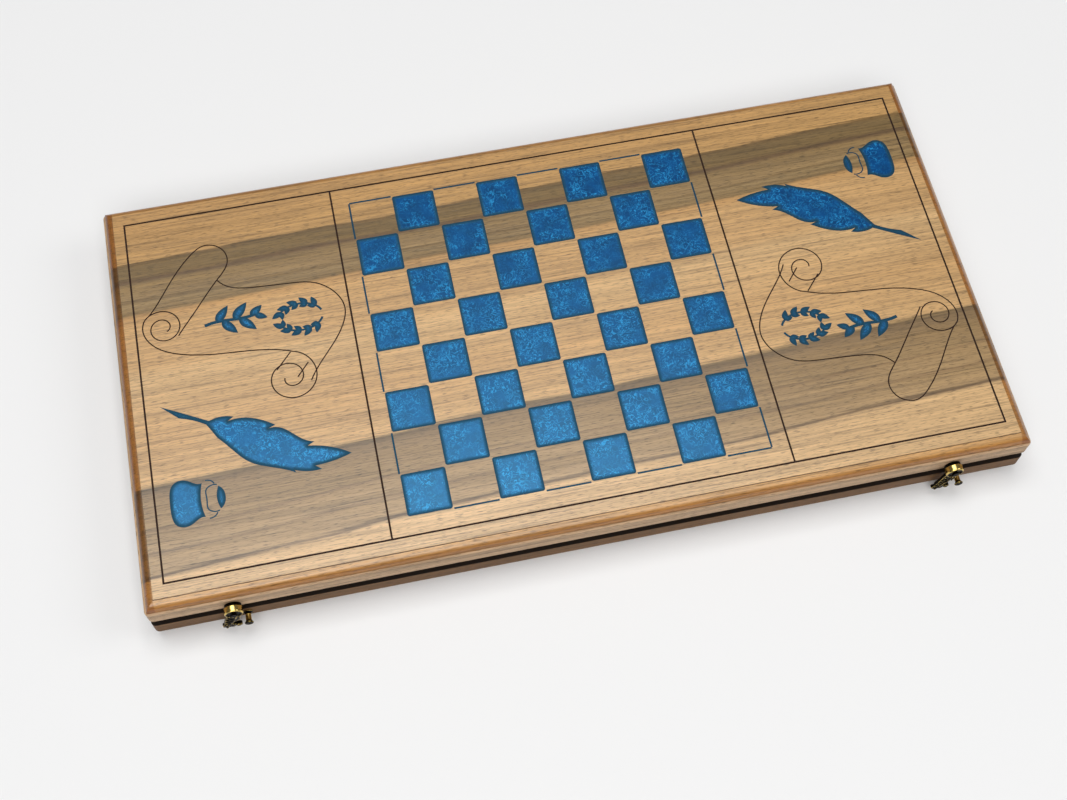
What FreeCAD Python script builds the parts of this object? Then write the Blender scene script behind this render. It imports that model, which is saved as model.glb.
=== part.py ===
import FreeCAD, Part
import math
import os

os.makedirs("parts", exist_ok=True)
Vec = FreeCAD.Vector

# Folding backgammon case with a chessboard on its lid.
# Frame: millimetres, +Z up, +X along the length, the clasps on the -Y side.
# The origin is the middle of the face that the closed case stands on.

# ---- Driving dimensions: the wooden case ----
case_length = 600.0        # over the frame, X
case_depth = 309.0         # over the frame, Y
half_height = 24.0         # one half, from its outer face to the parting plane
quirk_height = 1.3         # upright step at the top of the outer board's moulded edge
ovolo_radius = 6.0         # quarter round under the step
foot_height = 0.2          # upright foot under the quarter round
ledge_width = 1.5          # how far the frame stands out past the quarter round
arris_radius = 0.4         # softened edges of the boards and rails
rail_width = 15.0          # frame rails, seen from above
lip_height = 4.2           # set-back part of a rail at the parting plane
lip_setback = 3.5          # how far it is set back
corner_radius = 3.5        # upright corners of the frame
lip_corner_radius = 1.5
parting_gap = 0.3          # between the two halves when closed
play_thickness = 4.0       # playing board inside each half
play_clearance = 0.2       # between the playing board and the rails

# ---- Driving dimensions: decoration of the lid ----
chess_square = 31.0
chess_count = 8
square_gap = 0.3           # wood left at each side of a resin square
square_corner = 1.8
edge_line_width = 1.3      # resin line beside the light squares of the rim
pocket_depth = 2.0         # resin inlays of the lid
border_inset_x = 15.5      # engraved frame line, from the outside of the case
border_inset_y = 17.2
divider_offset = 12.2      # engraved line beside the chessboard
border_width = 1.3
border_depth = 1.0
scroll_width = 0.9         # engraved lines of the scrolls
scroll_depth = 0.7
pot_line_width = 0.9

# ---- Driving dimensions: the playing fields ----
points_per_end = 6
point_length = 226.0
point_gap = 1.6            # wood left between two points at their base
point_tip = 1.4            # blunt tip
point_margin = 1.0         # wood left between a base and the rail
point_depth = 1.5

# ---- Driving dimensions: hinges ----
hinge_x = 200.0
hinge_length = 50.0
knuckle_count = 5
knuckle_radius = 2.5
knuckle_gap = 0.3
pin_radius = 1.1
pin_fit = 0.05             # running clearance in the moving knuckles
pin_press = 0.01           # clearance in the fixed knuckles
leaf_thickness = 1.2
leaf_reach = 9.0           # leaf let into the rail, from the lip's outer face
axis_standoff = 0.25       # hinge axis outside the back of the frame
screw_count = 3
screw_shank_radius = 1.0
screw_head_radius = 2.0
screw_length = 9.0
screw_fit = 0.05
screw_slot_width = 0.5
screw_slot_depth = 0.35

# ---- Driving dimensions: clasps ----
clasp_x = 245.0
pivot_rise = 8.0           # pivot above the parting plane
base_radius = 5.6
base_thickness = 2.2
eye_radius = 6.25
eye_height = 4.2
hook_side_gap = 0.2        # hook to base and hook to screw head
pivot_radius = 1.6
pivot_fit = 0.06
pivot_head_radius = 2.7
pivot_head_height = 1.3
pivot_screw_length = 12.0
hook_plate_back = 3.6      # back of the hook's plate in front of the frame
hook_plate_thickness = 2.4
stud_right = 7.0           # catch stud, to the right of the pivot
stud_fall = 10.0           # and below the parting plane
stud_shank_radius = 1.9
stud_flange_radius = 3.4
stud_flange_thickness = 1.0
stud_head_radius = 3.0
stud_head_height = 1.6
mouth_fit = 0.5            # hook's mouth around the stud
latch_turn = 26.0          # degrees from hanging to latched
jaw_width = 2.6
jaw_turn = 5.0             # degrees that the jaw reaches past the mouth's end
lobe_radius = 2.0
tail_lean = 11.0           # degrees from the mouth to the middle of the tail
tail_excess = 2.0          # how far the tail reaches past the jaw
tail_tip_radius = 1.8
rib_radius = 0.9           # ribs on the hook's tail

# ---- Worked out from the above ----
case_height = 2 * half_height
panel_thickness = quirk_height + ovolo_radius + foot_height
half_x = case_length / 2
half_y = case_depth / 2
panel_x = half_x - ledge_width          # foot of the quarter round
panel_y = half_y - ledge_width
flat_x = panel_x - ovolo_radius         # edge of the flat outer face
flat_y = panel_y - ovolo_radius
inner_x = half_x - rail_width
inner_y = half_y - rail_width
lip_x = half_x - lip_setback
lip_y = half_y - lip_setback
frame_base = panel_thickness            # height of the rails above the outer face
play_top = frame_base + play_thickness
rail_top = half_height - parting_gap / 2
lip_base = half_height - lip_height
board_half = chess_square * chess_count / 2
hinge_axis_y = half_y + axis_standoff
pivot_z = half_height + pivot_rise
stud_drop = pivot_rise + stud_fall
border_x = half_x - border_inset_x
border_y = half_y - border_inset_y
divider_x = board_half + divider_offset
motif_x = (border_x + divider_x) / 2    # middle of the field at each end of the lid


def export(shape, node):
    shape.exportStep("parts/" + node + ".step")


def block(x0, x1, y0, y1, z0, z1):
    return Part.makeBox(x1 - x0, y1 - y0, z1 - z0, Vec(x0, y0, z0))


def group(shapes):
    return Part.makeCompound(shapes)


def mirrored(shape):
    """The same piece in the other half: turned over about the parting plane."""
    return shape.mirror(Vec(0, 0, half_height), Vec(0, 0, 1))


def at_left_end(shape):
    """A motif drawn about the middle of an end field, put in the left one."""
    return shape.translated(Vec(-motif_x, 0, 0))


def at_right_end(shape):
    """The same motif at the other end of the lid, half a turn round."""
    return at_left_end(shape).rotated(Vec(0, 0, 0), Vec(0, 0, 1), 180)


# ---- Outer boards: a moulded edge all round, mitred at the corners ----

def moulding_profile(half_width, place):
    """Section of the board with a step, a quarter round and a softened edge."""
    foot = half_width
    flat = half_width - ovolo_radius
    top = 0.0
    step = quirk_height
    base = panel_thickness
    straight_foot = step + ovolo_radius
    slant = ovolo_radius * math.sqrt(0.5)
    soft = arris_radius * (1 - math.sqrt(0.5))
    edges = []
    for side in (1, -1):
        edges += [
            Part.Arc(place(side * (flat - arris_radius), top),
                     place(side * (flat - soft), top + soft),
                     place(side * flat, top + arris_radius)).toShape(),
            Part.makeLine(place(side * flat, top + arris_radius), place(side * flat, step)),
            Part.Arc(place(side * flat, step),
                     place(side * (flat + slant), straight_foot - slant),
                     place(side * foot, straight_foot)).toShape(),
            Part.makeLine(place(side * foot, straight_foot), place(side * foot, base))]
    edges.append(Part.makeLine(place(-(flat - arris_radius), top), place(flat - arris_radius, top)))
    edges.append(Part.makeLine(place(-foot, base), place(foot, base)))
    return Part.Face(Part.Wire(Part.__sortEdges__(edges)))


def outer_board():
    """Board of the lower half: its outer face is the face that the case stands on."""
    along_y = moulding_profile(panel_x, lambda across, up: Vec(across, -case_depth, up))
    along_x = moulding_profile(panel_y, lambda across, up: Vec(-case_length, across, up))
    return along_y.extrude(Vec(0, 2 * case_depth, 0)).common(along_x.extrude(Vec(2 * case_length, 0, 0)))


# ---- Frame: four mitred rails on each board ----

def rounded_block(half_width, half_breadth, z0, z1, radius, soft_edges):
    """Block with rounded upright corners, and softened edges round the faces at the given heights."""
    solid = block(-half_width, half_width, -half_breadth, half_breadth, z0, z1)
    upright = [edge for edge in solid.Edges
               if abs(edge.Vertexes[0].Z - edge.Vertexes[1].Z) > (z1 - z0) / 2]
    solid = solid.makeFillet(radius, upright)
    level = [edge for edge in solid.Edges for z in soft_edges
             if abs(edge.BoundBox.ZMin - z) < 1e-6 and abs(edge.BoundBox.ZMax - z) < 1e-6]
    return solid.makeFillet(arris_radius, level)


def frame_ring():
    body = rounded_block(half_x, half_y, frame_base, lip_base, corner_radius, (frame_base, lip_base))
    lip = rounded_block(lip_x, lip_y, lip_base - arris_radius, rail_top, lip_corner_radius, (rail_top,))
    hollow = block(-inner_x, inner_x, -inner_y, inner_y, 0, case_height)
    return body.fuse(lip).removeSplitter().cut(hollow)


def mitre_wedge(side):
    """Plan of one rail: everything on its side of the two 45 degree mitres."""
    reach = half_y
    corner_x = half_x
    if side in ("front", "back"):
        sign = -1 if side == "front" else 1
        plan = [(-corner_x, sign * reach), (corner_x, sign * reach),
                (corner_x - reach, 0), (-corner_x + reach, 0)]
    else:
        sign = -1 if side == "left" else 1
        plan = [(sign * corner_x, -reach), (sign * corner_x, reach), (sign * (corner_x - reach), 0)]
    points = [Vec(x, y, 0) for x, y in plan]
    return Part.Face(Part.makePolygon(points + [points[0]])).extrude(Vec(0, 0, case_height))


# ---- Playing boards and their inlaid points ----

def point_plans():
    """Plans of the twelve long points: six at each end, pointing to the middle."""
    pitch = 2 * (inner_y - play_clearance) / points_per_end
    base_x = inner_x - play_clearance - point_margin
    plans = []
    for end in (-1, 1):
        for index in range(points_per_end):
            middle = -(inner_y - play_clearance) + (index + 0.5) * pitch
            base = (pitch - point_gap) / 2
            corners = [(end * base_x, middle - base), (end * base_x, middle + base),
                       (end * (base_x - point_length), middle + point_tip / 2),
                       (end * (base_x - point_length), middle - point_tip / 2)]
            points = [Vec(x, y, 0) for x, y in corners]
            plans.append(Part.Face(Part.makePolygon(points + [points[0]])))
    return plans


def inlaid_points():
    """Solids of the points, in two alternating sets, flush with the playing board."""
    sets = ([], [])
    for index, plan in enumerate(point_plans()):
        plan.translate(Vec(0, 0, play_top - point_depth))
        solid = plan.extrude(Vec(0, 0, point_depth))
        end = index // points_per_end
        sets[(index + end) % 2].append(solid)
    return sets


# ---- Engraved lines and inlays of the lid ----
# The motifs are drawn about the middle of the field at the left end, as (0, 0).

def spline(points):
    curve = Part.BSplineCurve()
    curve.interpolate([Vec(x, y, 0) for x, y in points])
    return curve


def ribbon(points, width, samples_per_span=4):
    """Plan of a line of even width along a smooth curve through the points."""
    curve = spline(points)
    first, last = curve.FirstParameter, curve.LastParameter
    steps = samples_per_span * (len(points) - 1)
    sides = ([], [])
    for step in range(steps + 1):
        place = first + (last - first) * step / steps
        middle = curve.value(place)
        along = curve.tangent(place)[0]
        across = Vec(-along.y, along.x, 0) * (width / 2)
        sides[0].append(middle + across)
        sides[1].append(middle - across)
    edges = []
    for side in sides:
        edge = Part.BSplineCurve()
        edge.interpolate(side)
        edges.append(edge.toShape())
    edges.append(Part.makeLine(sides[0][0], sides[1][0]))
    edges.append(Part.makeLine(sides[0][-1], sides[1][-1]))
    return Part.Face(Part.Wire(Part.__sortEdges__(edges)))


def straight(start, end, width):
    """Plan of a straight line of even width."""
    run = Vec(end[0] - start[0], end[1] - start[1], 0)
    length = run.Length
    plan = Part.makePlane(length, width, Vec(0, -width / 2, 0))
    plan.rotate(Vec(0, 0, 0), Vec(0, 0, 1), math.degrees(math.atan2(run.y, run.x)))
    plan.translate(Vec(start[0], start[1], 0))
    return plan


def outline(*runs):
    """Plan inside a closed outline of smooth runs that meet end to end."""
    edges = []
    for run in runs:
        if len(run) == 2:
            edges.append(Part.makeLine(Vec(*run[0], 0), Vec(*run[1], 0)))
        else:
            edges.append(spline(run).toShape())
    return Part.Face(Part.Wire(Part.__sortEdges__(edges)))


def sunk(plan, depth):
    """Solids under a plan, from the lid's top face down."""
    copy = plan.copy()
    copy.translate(Vec(0, 0, case_height - depth))
    return group([face.extrude(Vec(0, 0, depth)) for face in copy.Faces])


def spiral(centre, start_radius, end_radius, start_angle, turn, count=16):
    """Points of a curl that closes in evenly as it turns."""
    points = []
    for step in range(count + 1):
        share = step / count
        radius = start_radius + (end_radius - start_radius) * share
        angle = math.radians(start_angle + turn * share)
        points.append((centre[0] + radius * math.cos(angle), centre[1] + radius * math.sin(angle)))
    return points


def scroll_plans():
    """Engraved parchment scroll: a roll, a page and a lower curl."""
    roll_curl = (-55.5, 48.5)
    foot_curl = (26.0, -7.0)
    upper = spiral(roll_curl, 14.5, 4.0, 148, -560)
    lower = spiral(foot_curl, 20.0, 4.0, 78, -620)
    plans = [
        ribbon(upper, scroll_width),
        ribbon(lower, scroll_width),
        # back of the roll, its rounded end, and its front edge
        ribbon([upper[0], (-48.5, 81.5), (-31.0, 103.0), (-20.0, 109.5), (-8.0, 104.0),
                (-5.5, 93.0), (-14.5, 79.5), (-30.0, 60.0), (-45.5, 40.5)], scroll_width),
        # far edge of the page, and its right side down to the curl
        ribbon([(-14.5, 79.5), (-7.0, 72.5), (11.0, 68.5), (32.0, 67.0), (52.0, 64.0),
                (65.0, 54.0), (70.5, 40.0), (67.5, 27.5), (55.0, 9.0), (39.5, -12.0)],
               scroll_width),
        # near edge of the page
        ribbon([upper[0], (-69.0, 46.0), (-62.0, 34.5), (-48.0, 26.5), (-26.0, 21.5),
                (2.0, 19.0), (20.0, 16.0), lower[0]], scroll_width),
        straight((28.5, 12.6), (17.5, 0.4), scroll_width),
        straight((39.4, 2.4), (30.8, -7.6), scroll_width),
    ]
    return plans


def border_plans():
    """Engraved frame line round the lid and the two lines beside the chessboard."""
    extra = border_width / 2
    plans = []
    for y in (-border_y, border_y):
        plans.append(straight((-border_x - extra, y), (border_x + extra, y), border_width))
    for x in (border_x, divider_x):
        plans += [straight((side * x, -border_y), (side * x, border_y), border_width) for side in (-1, 1)]
    return plans


def feather_plan():
    """Quill: a cut nib and shaft, and a vane with a few splits."""
    return outline(
        [(-64.0, -11.5), (-48.0, -20.0), (-32.5, -28.6)],
        [(-32.5, -28.6), (-23.0, -27.0), (-16.0, -28.6)],
        [(-16.0, -28.6), (-20.0, -31.2)],
        [(-20.0, -31.2), (-9.0, -30.8), (3.0, -35.2), (11.0, -40.4)],
        [(11.0, -40.4), (6.0, -42.0)],
        [(6.0, -42.0), (15.0, -43.6), (23.0, -50.4), (35.0, -57.6)],
        [(35.0, -57.6), (30.0, -60.0)],
        [(30.0, -60.0), (44.0, -63.4), (58.0, -71.0)],
        [(58.0, -71.0), (47.0, -74.0), (33.0, -75.4)],
        [(33.0, -75.4), (37.0, -78.6)],
        [(37.0, -78.6), (27.0, -78.4), (19.0, -75.8)],
        [(19.0, -75.8), (20.0, -78.0)],
        [(20.0, -78.0), (4.0, -70.6), (-9.0, -64.4), (-19.0, -53.8), (-28.5, -42.0)],
        [(-28.5, -42.0), (-32.0, -35.5), (-34.6, -31.0)],
        [(-34.6, -31.0), (-42.0, -26.6), (-52.0, -22.8)],
        [(-52.0, -22.8), (-64.0, -11.5)])


def ink_pot_plans():
    """Ink pot lying on its side: body, rim line, collar and cork."""
    middle = -85.0
    body = outline(
        [(-42.4, middle + 12.2), (-46.0, middle + 12.4), (-51.0, middle + 15.4),
         (-56.5, middle + 16.8), (-61.5, middle + 14.6), (-64.4, middle + 5.0),
         (-64.4, middle - 5.0), (-61.5, middle - 14.6), (-56.5, middle - 16.8),
         (-51.0, middle - 15.4), (-46.0, middle - 12.4), (-42.4, middle - 12.2)],
        [(-42.4, middle - 12.2), (-44.2, middle), (-42.4, middle + 12.2)])
    cork = outline(
        [(-32.0, middle + 8.2), (-28.6, middle + 4.0), (-28.0, middle),
         (-28.6, middle - 4.0), (-32.0, middle - 8.2)],
        [(-32.0, middle - 8.2), (-33.8, middle), (-32.0, middle + 8.2)])
    rim = ribbon([(-32.8, middle + 9.2), (-37.5, middle + 9.1), (-39.8, middle + 7.4),
                  (-40.3, middle), (-39.8, middle - 7.4), (-37.5, middle - 9.1),
                  (-32.8, middle - 9.2)], pot_line_width)
    collars = [ribbon([(-40.0, middle + side * 13.6), (-36.8, middle + side * 13.0),
                       (-34.4, middle + side * 10.4)], pot_line_width) for side in (1, -1)]
    return [body, cork, rim] + collars


def leaf_plan(base, length, width, angle):
    """Pointed leaf from a base point."""
    turn = math.radians(angle)
    along = (math.cos(turn), math.sin(turn))

    def place(out, side):
        return (base[0] + out * along[0] - side * along[1], base[1] + out * along[1] + side * along[0])

    tip = place(length, 0)
    return outline([base, place(length * 0.35, width / 2), place(length * 0.7, width * 0.36), tip],
                   [tip, place(length * 0.7, -width * 0.36), place(length * 0.35, -width / 2), base])


def merged(plans):
    """One plan from several that overlap."""
    solids = [plan.extrude(Vec(0, 0, 1)) for plan in plans]
    whole = solids[0].multiFuse(solids[1:]).removeSplitter()
    return group([face for face in whole.Faces if face.BoundBox.ZMax < 1e-6])


def sprig_plans():
    """Leaf sprig and leaf wreath on the scroll's page."""
    stem = ribbon([(-27.0, 44.4), (-14.0, 46.0), (0.0, 45.6), (10.5, 47.6)], 2.4)
    leaves = [leaf_plan((-19.0, 45.4), 15.5, 6.6, 52), leaf_plan((-7.0, 45.8), 16.0, 7.0, 48),
              leaf_plan((5.0, 46.0), 11.5, 6.0, 40), leaf_plan((-15.0, 45.6), 15.0, 6.6, -48),
              leaf_plan((-3.0, 45.6), 15.5, 6.8, -44), leaf_plan((8.0, 46.6), 9.5, 5.0, -24)]
    wreath_centre = (39.0, 38.5)
    wreath_x, wreath_y = 15.6, 10.6
    ring = []
    for step in range(25):
        angle = 2 * math.pi * step / 24
        ring.append((wreath_centre[0] + wreath_x * math.cos(angle),
                     wreath_centre[1] + wreath_y * math.sin(angle)))
    arcs = [ribbon(ring[1:12], 1.6), ribbon(ring[13:24], 1.6)]
    for angle in (40, 66, 92, 118, 144):
        for side in (1, -1):
            turn = math.radians(angle) * side
            base = (wreath_centre[0] + wreath_x * math.cos(turn),
                    wreath_centre[1] + wreath_y * math.sin(turn))
            lean = angle + 68
            arcs.append(leaf_plan(base, 8.2, 4.4, side * lean))
            arcs.append(leaf_plan(base, 6.4, 3.8, side * (angle + 128)))
    upper = [arcs[0]] + arcs[2::4] + arcs[3::4]
    lower = [arcs[1]] + arcs[4::4] + arcs[5::4]
    return [merged([stem] + leaves), merged(upper), merged(lower)]


def square_plan(centre_x, centre_y, side, radius):
    solid = Part.makeBox(side, side, 1, Vec(centre_x - side / 2, centre_y - side / 2, 0))
    upright = [edge for edge in solid.Edges if abs(edge.Vertexes[0].Z - edge.Vertexes[1].Z) > 0.5]
    solid = solid.makeFillet(radius, upright)
    return [face for face in solid.Faces if face.CenterOfMass.z < 1e-6][0]


def chess_plans():
    """Resin squares, and the lines that close the rim beside the light squares."""
    squares, lines = [], []
    last = chess_count - 1
    for row in range(chess_count):
        for column in range(chess_count):
            x = (column + 0.5) * chess_square - board_half
            y = (row + 0.5) * chess_square - board_half
            if (row + column) % 2 == 0:
                squares.append(square_plan(x, y, chess_square - 2 * square_gap, square_corner))
                continue
            half = chess_square / 2 - square_gap
            if row in (0, last):
                rim = board_half if row == last else -board_half
                lines.append(straight((x - half, rim), (x + half, rim), edge_line_width))
            if column in (0, last):
                rim = board_half if column == last else -board_half
                lines.append(straight((rim, y - half), (rim, y + half), edge_line_width))
    return squares, lines


# ---- Hinges: butt hinges let into the mating faces of the back rails ----

def knuckle_span(index):
    pitch = hinge_length / knuckle_count
    start = -hinge_length / 2 + index * pitch
    shrink_low = knuckle_gap / 2 if index > 0 else 0
    shrink_high = knuckle_gap / 2 if index < knuckle_count - 1 else 0
    return start + shrink_low, start + pitch - shrink_high


def barrel(index, radius, grow=0.0):
    low, high = knuckle_span(index)
    return Part.makeCylinder(radius, high - low + 2 * grow, Vec(low - grow, hinge_axis_y, half_height),
                             Vec(1, 0, 0))


def hinge_screw_places():
    pitch = hinge_length / screw_count
    return [-hinge_length / 2 + (index + 0.5) * pitch for index in range(screw_count)]


def screw_middle_y():
    return lip_y - leaf_reach / 2


def hinge_leaf(own_parity, bore_clearance):
    """Leaf of the lower half: a plate below the parting plane, and every other knuckle."""
    plate = block(-hinge_length / 2, hinge_length / 2, lip_y - leaf_reach, hinge_axis_y,
                  rail_top - leaf_thickness, rail_top)
    leaf = plate
    for index in range(knuckle_count):
        if index % 2 == own_parity:
            leaf = leaf.fuse(barrel(index, knuckle_radius))
        else:
            leaf = leaf.cut(barrel(index, knuckle_radius + knuckle_gap, knuckle_gap))
    bore = Part.makeCylinder(pin_radius + bore_clearance, 2 * hinge_length,
                             Vec(-hinge_length, hinge_axis_y, half_height), Vec(1, 0, 0))
    leaf = leaf.cut(bore).removeSplitter()
    for x in hinge_screw_places():
        place = Vec(x, screw_middle_y(), rail_top)
        sink = Part.makeCone(screw_head_radius + screw_fit, screw_shank_radius + screw_fit, leaf_thickness,
                             place, Vec(0, 0, -1))
        leaf = leaf.cut(sink)
    return leaf


def hinge_screws():
    """Countersunk screws of one leaf of the lower half."""
    screws = []
    for x in hinge_screw_places():
        place = Vec(x, screw_middle_y(), rail_top)
        head = Part.makeCone(screw_head_radius, screw_shank_radius, leaf_thickness, place, Vec(0, 0, -1))
        shank = Part.makeCylinder(screw_shank_radius, screw_length, place, Vec(0, 0, -1))
        slot = block(x - screw_head_radius, x + screw_head_radius,
                     screw_middle_y() - screw_slot_width / 2, screw_middle_y() + screw_slot_width / 2,
                     rail_top - screw_slot_depth, rail_top)
        screws.append(head.fuse(shank).cut(slot).removeSplitter())
    return screws


def hinge_cuts():
    """What a leaf and its screws take out of the lower back rail."""
    cuts = [block(-hinge_length / 2, hinge_length / 2, lip_y - leaf_reach, half_y + 1,
                  rail_top - leaf_thickness, case_height)]
    for x in hinge_screw_places():
        cuts.append(Part.makeCylinder(screw_shank_radius + screw_fit, screw_length + 0.5,
                                      Vec(x, screw_middle_y(), rail_top), Vec(0, 0, -1)))
    return cuts


def hinge_pin():
    return Part.makeCylinder(pin_radius, hinge_length, Vec(-hinge_length / 2, hinge_axis_y, half_height),
                             Vec(1, 0, 0))


# ---- Clasps: a cast hook turns on a screw in the upper rail and catches a stud in the lower ----

def front_disc(radius, near, far, x=0.0, drop=0.0):
    """Disc square to the front face, from one standoff to another, at a place from the pivot."""
    return Part.makeCylinder(radius, far - near, Vec(x, -half_y - near, pivot_z - drop), Vec(0, -1, 0))


def hook_plan(points, near, far):
    """Plate square to the front face, from a closed outline given from the pivot."""
    corners = [Vec(x, -half_y - near, pivot_z + z) for x, z in points]
    return Part.Face(Part.makePolygon(corners + [corners[0]])).extrude(Vec(0, near - far, 0))


def polar(radius, degrees):
    """Place at a distance from the pivot, at an angle from straight down towards +X."""
    turn = math.radians(degrees)
    return radius * math.sin(turn), -radius * math.cos(turn)


def ring_sector(inner, outer, start, end, near, far, steps=12):
    angles = [start + (end - start) * step / steps for step in range(steps + 1)]
    points = [polar(outer, angle) for angle in angles] + [polar(inner, angle) for angle in reversed(angles)]
    return hook_plan(points, near, far)


stud_distance = math.hypot(stud_right, stud_drop)
stud_angle = math.degrees(math.atan2(stud_right, stud_drop))
mouth_half = stud_shank_radius + mouth_fit
mouth_angle = stud_angle - latch_turn
jaw_inner = stud_distance + mouth_half
jaw_middle = jaw_inner + jaw_width / 2
tail_angle = mouth_angle - tail_lean
tail_radius = jaw_inner + jaw_width + tail_excess
eye_front = base_thickness + hook_side_gap + eye_height
plate_front = hook_plate_back + hook_plate_thickness


def clasp_base():
    """Thin bronze washer between the hook and the wood."""
    washer = front_disc(base_radius, 0, base_thickness)
    return washer.cut(front_disc(pivot_radius + pivot_fit, -1, base_thickness + 1))


def clasp_pivot_screw():
    """Round-headed screw that the hook turns on."""
    front = eye_front + hook_side_gap
    head = front_disc(pivot_head_radius, front, front + pivot_head_height)
    rim = [edge for edge in head.Edges
           if abs(edge.CenterOfMass.y + half_y + front + pivot_head_height) < 1e-6]
    head = head.makeFillet(pivot_head_height * 0.7, rim)
    shank = front_disc(pivot_radius, front - pivot_screw_length, front)
    slot = block(-pivot_head_radius, pivot_head_radius, -half_y - front - pivot_head_height,
                 -half_y - front - pivot_head_height * 0.45, pivot_z - 0.4, pivot_z + 0.4)
    return head.fuse(shank).removeSplitter().cut(slot)


def clasp_hook():
    """Cast hook at rest: an eye, a ribbed fan tail to the left and a jaw that opens to the right."""
    near, far = hook_plate_back, plate_front
    eye = front_disc(eye_radius, base_thickness + hook_side_gap, eye_front)
    body = hook_plan([polar(0.93 * eye_radius, -63), polar(tail_radius - 5.0, tail_angle - 10),
                      polar(tail_radius - 1.0, tail_angle), polar(jaw_inner + 0.6, mouth_angle - 5),
                      polar(stud_distance, mouth_angle - 2),
                      polar(stud_distance - mouth_half - 0.2, mouth_angle + 3),
                      polar(0.97 * eye_radius, 49)], near, far)
    tail = [front_disc(tail_tip_radius, near, far,
                       *place_of(polar(tail_radius - tail_tip_radius, tail_angle + lean)))
            for lean in (-6, 0, 6)]
    jaw = ring_sector(jaw_inner, jaw_inner + jaw_width, mouth_angle - 12, mouth_angle + jaw_turn, near, far)
    lobe = front_disc(lobe_radius, near, far, *place_of(polar(jaw_middle + 0.7, mouth_angle + jaw_turn)))
    hook = eye.multiFuse([body, jaw, lobe] + tail).removeSplitter()
    mouth = ring_sector(stud_distance - mouth_half, jaw_inner, mouth_angle, mouth_angle + 40, 0, far + 5)
    mouth_end = front_disc(mouth_half, 0, far + 5, *place_of(polar(stud_distance, mouth_angle)))
    ribs = []
    for lean in (-8, -4, 0, 4):
        start, end = polar(9.0, tail_angle + lean * 1.2), polar(tail_radius - 1.8, tail_angle + lean)
        run = Vec(end[0] - start[0], 0, end[1] - start[1])
        foot = Vec(start[0], -half_y - far, pivot_z + start[1])
        ribs.append(Part.makeCylinder(rib_radius, run.Length, foot, run))
    hook = hook.multiFuse(ribs).cut(mouth).cut(mouth_end)
    bore = front_disc(pivot_radius + pivot_fit, 0, eye_front + 5)
    return hook.cut(bore)


def place_of(point):
    return point[0], -point[1]


def catch_stud():
    """Turned stud in the lower front rail: a flange, a shank that the hook catches, and a head."""
    neck_front = plate_front + rib_radius + hook_side_gap * 2
    flange = front_disc(stud_flange_radius, 0, stud_flange_thickness, stud_right, stud_drop)
    shank = front_disc(stud_shank_radius, -8, neck_front, stud_right, stud_drop)
    head = front_disc(stud_head_radius, neck_front, neck_front + stud_head_height, stud_right, stud_drop)
    rim = [edge for edge in head.Edges
           if abs(edge.CenterOfMass.y + half_y + neck_front + stud_head_height) < 1e-6]
    head = head.makeFillet(stud_head_height * 0.6, rim)
    return flange.multiFuse([shank, head]).removeSplitter()


# ---- Lower half ----
sides = ("front", "back", "left", "right")
ring = frame_ring()
rails = {side: ring.common(mitre_wedge(side)) for side in sides}
board = outer_board()

# hinge leaves, screws and pins go on both back rails
back_cuts = []
for place in (-hinge_x, hinge_x):
    for cut in hinge_cuts():
        cut.translate(Vec(place, 0, 0))
        back_cuts.append(cut)
rails["back"] = rails["back"].cut(back_cuts)

# catch studs and pivot screws go in the front rails
stud_holes = [front_disc(stud_shank_radius + screw_fit, -8.5, 1, place + stud_right, stud_drop)
              for place in (-clasp_x, clasp_x)]
pivot_holes = [front_disc(pivot_radius + screw_fit, -9, 1, place, 0) for place in (-clasp_x, clasp_x)]

play_board = block(-inner_x + play_clearance, inner_x - play_clearance,
                   -inner_y + play_clearance, inner_y - play_clearance, frame_base, play_top)
resin_points, walnut_points = inlaid_points()
play_board = play_board.cut(resin_points + walnut_points)

export(board, "lower_outer_board")
export(play_board, "lower_playing_board")
export(group(resin_points), "lower_resin_points")
export(group(walnut_points), "lower_walnut_points")
for side in sides:
    rail = rails[side].cut(stud_holes) if side == "front" else rails[side]
    export(rail, "lower_" + side + "_rail")

# ---- Upper half: the same pieces turned over ----
export(mirrored(play_board), "upper_playing_board")
export(mirrored(group(resin_points)), "upper_resin_points")
export(mirrored(group(walnut_points)), "upper_walnut_points")
for side in sides:
    rail = mirrored(rails[side])
    if side == "front":
        rail = rail.cut(pivot_holes)
    export(rail, "upper_" + side + "_rail")

# ---- Decorated outer board of the upper half ----
squares, lines = chess_plans()
motifs = {"feather": [feather_plan()], "ink_pot": ink_pot_plans(), "sprigs": sprig_plans()}
inlays = {"chess_squares": [sunk(plan, pocket_depth) for plan in squares],
          "chess_rim_lines": [sunk(plan, pocket_depth) for plan in lines]}
for name, plans in motifs.items():
    solids = []
    for plan in plans:
        solids += sunk(plan, pocket_depth).Solids
    inlays["left_" + name] = [at_left_end(solid) for solid in solids]
    inlays["right_" + name] = [at_right_end(solid) for solid in solids]

grooves = [sunk(plan, border_depth) for plan in border_plans()]
for plan in scroll_plans():
    groove = sunk(plan, scroll_depth)
    grooves += [at_left_end(groove), at_right_end(groove)]

lid_board = mirrored(board)
for solids in inlays.values():
    lid_board = lid_board.cut(solids)
for groove in grooves:
    lid_board = lid_board.cut(groove)
export(lid_board, "upper_outer_board")
for name, solids in inlays.items():
    export(group(solids), name)

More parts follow.
